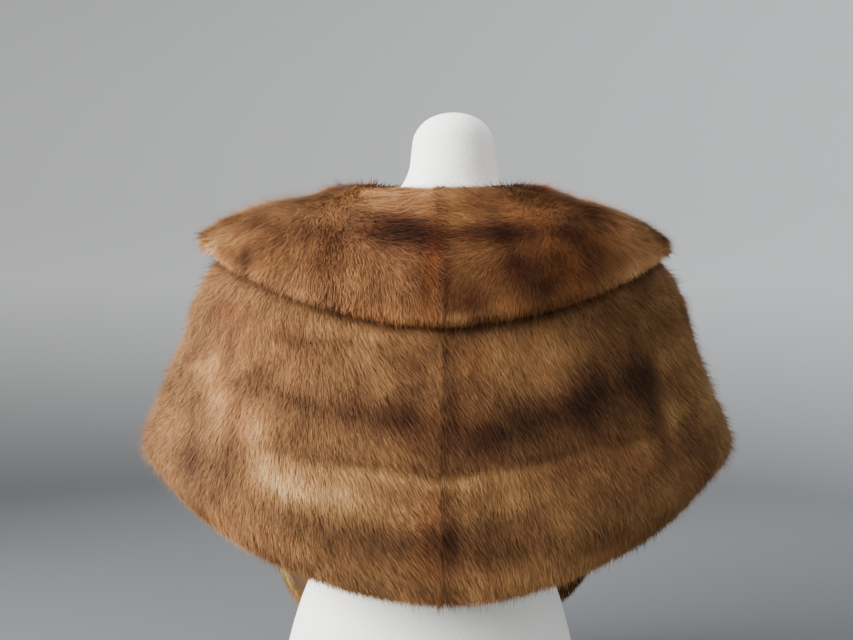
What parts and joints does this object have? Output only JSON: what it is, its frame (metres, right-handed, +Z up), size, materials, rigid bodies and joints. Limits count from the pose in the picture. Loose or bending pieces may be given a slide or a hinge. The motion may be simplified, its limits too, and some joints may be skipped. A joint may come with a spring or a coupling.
{
  "type": "fur cape on a limbless dress form",
  "caption": "Short fur cape of horizontal pelts with a wide turned-down collar, long front ends and an open front, draped over a white limbless dress form.",
  "frame": {"origin": "on the flat base of the dress form, on the floor, under the back seam of the cape", "axes": "+Z up; +Y to the front opening, so the wearer's back faces -Y; +X to the wearer's right"},
  "size_m": [0.6941, 0.3452, 0.729],
  "materials": {
    "fur_brown": "soft brown fur pile",
    "fur_gold": "soft golden fur pile",
    "form_white": "fine pebbled white cover"
  },
  "bodies": {
    "root": {"dress_form": "form_white", "yoke_left": "fur_brown", "yoke_right": "fur_brown", "upper_row_left": "fur_brown", "upper_row_right": "fur_brown", "lower_row_left": "fur_gold", "lower_row_right": "fur_gold", "front_end_left": "fur_gold", "front_end_right": "fur_gold", "collar_left": "fur_brown", "collar_right": "fur_brown"}
  },
  "joints": []
}
